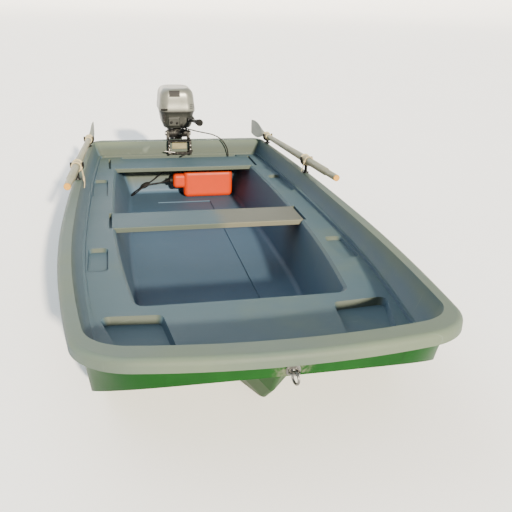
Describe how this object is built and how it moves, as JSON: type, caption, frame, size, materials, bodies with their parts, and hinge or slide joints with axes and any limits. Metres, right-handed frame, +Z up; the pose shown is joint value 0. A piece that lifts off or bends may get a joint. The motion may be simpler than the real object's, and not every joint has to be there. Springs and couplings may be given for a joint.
{
  "type": "rowing boat",
  "caption": "Small double-skinned rowing boat with two thwarts, oars stowed in rowlocks, a fuel tank and an outboard motor on the transom.",
  "frame": {"origin": "on the waterline, on the centreline, amidships", "axes": "+Z up, +Y towards the stern, +X to port"},
  "size_m": [1.52, 3.8277, 1.112],
  "materials": {
    "liner_gelcoat": "satin moulded gelcoat",
    "hull_gelcoat": "satin moulded gelcoat",
    "oar_paint": "painted wood, worn satin",
    "cream_collar": "satin",
    "black_metal": "black, worn",
    "steel": "weathered",
    "tank_plastic": "blown plastic, satin",
    "black_plastic": "satin",
    "hose_rubber": "matt",
    "bracket_metal": "dark paint",
    "motor_paint": "semi gloss dark grey",
    "cowl_paint": "metallic warm grey",
    "engine_metal": "cast, matt",
    "pad_wood": "varnished board"
  },
  "bodies": {
    "boat": {"aft_thwart": "liner_gelcoat", "bow_eye": "steel", "bow_ring": "steel", "clamp_bracket": "bracket_metal", "clamp_screw_port": "steel", "clamp_screw_starboard": "steel", "fuel_tank": "tank_plastic", "hose_main": "hose_rubber", "hose_motor": "hose_rubber", "hose_tank": "hose_rubber", "hull_shell": "hull_gelcoat", "keel": "hull_gelcoat", "liner": "liner_gelcoat", "mid_thwart": "liner_gelcoat", "primer_bulb": "hose_rubber", "rowlock_aft_port": "black_metal", "rowlock_aft_starboard": "black_metal", "rowlock_fore_port": "black_metal", "rowlock_fore_starboard": "black_metal", "socket_aft_port": "black_metal", "socket_aft_starboard": "black_metal", "socket_fore_port": "black_metal", "socket_fore_starboard": "black_metal", "tank_cap": "black_plastic", "tank_spout": "black_plastic", "tilt_tube": "steel", "transom_pad": "pad_wood"},
    "oar_port_side": {"oar_port": "oar_paint", "collar_fore_port": "cream_collar", "collar_aft_port": "cream_collar", "rope_tie_port": "cream_collar"},
    "oar_starboard_side": {"oar_starboard": "oar_paint", "collar_fore_starboard": "cream_collar", "collar_aft_starboard": "cream_collar", "rope_tie_starboard": "cream_collar"},
    "motor_swivel": {"swivel_bracket": "motor_paint"},
    "motor": {"steering_shaft": "motor_paint", "leg": "motor_paint", "gear_case": "motor_paint", "lower_pan": "motor_paint", "top_cowl": "cowl_paint", "engine": "engine_metal", "front_panel": "black_plastic", "knob_choke": "black_plastic", "knob_stop": "black_plastic", "starter_handle": "black_plastic", "tiller_bracket": "motor_paint", "hose_plug": "black_plastic", "shift_lever": "motor_paint"},
    "propeller_screw": {"propeller": "motor_paint"},
    "tiller": {"tiller_arm": "motor_paint", "tiller_grip": "hose_rubber"}
  },
  "joints": [
    {"name": "oar_port_lift", "type": "hinge", "parent": "boat", "child": "oar_port_side", "pos_m": [0.712, 0.6342, 0.4334], "axis": [1, 0, 0], "range_deg": [0, 6.5]},
    {"name": "oar_starboard_lift", "type": "hinge", "parent": "boat", "child": "oar_starboard_side", "pos_m": [-0.712, 0.6342, 0.4334], "axis": [1, 0, 0], "range_deg": [0, 6.5]},
    {"name": "motor_tilt", "type": "hinge", "parent": "boat", "child": "motor_swivel", "pos_m": [0, 1.745, 0.405], "axis": [1, 0, 0], "range_deg": [0, 62], "deforming": ["hose_motor"]},
    {"name": "motor_steer", "type": "hinge", "parent": "motor_swivel", "child": "motor", "pos_m": [0, 1.845, 0.3], "axis": [0, 0, 1], "range_deg": [-40, 40]},
    {"name": "propeller_spin", "type": "hinge", "parent": "motor", "child": "propeller_screw", "pos_m": [0, 2.044, -0.23], "axis": [0, 1, 0], "continuous": true},
    {"name": "tiller_fold", "type": "hinge", "parent": "motor", "child": "tiller", "pos_m": [0.101, 1.712, 0.509], "axis": [-1, 0, 0], "range_deg": [0, 75]}
  ],
  "couplings": [
    {"joint": "tiller_fold", "follows": "motor_tilt", "ratio": 1.2}
  ]
}
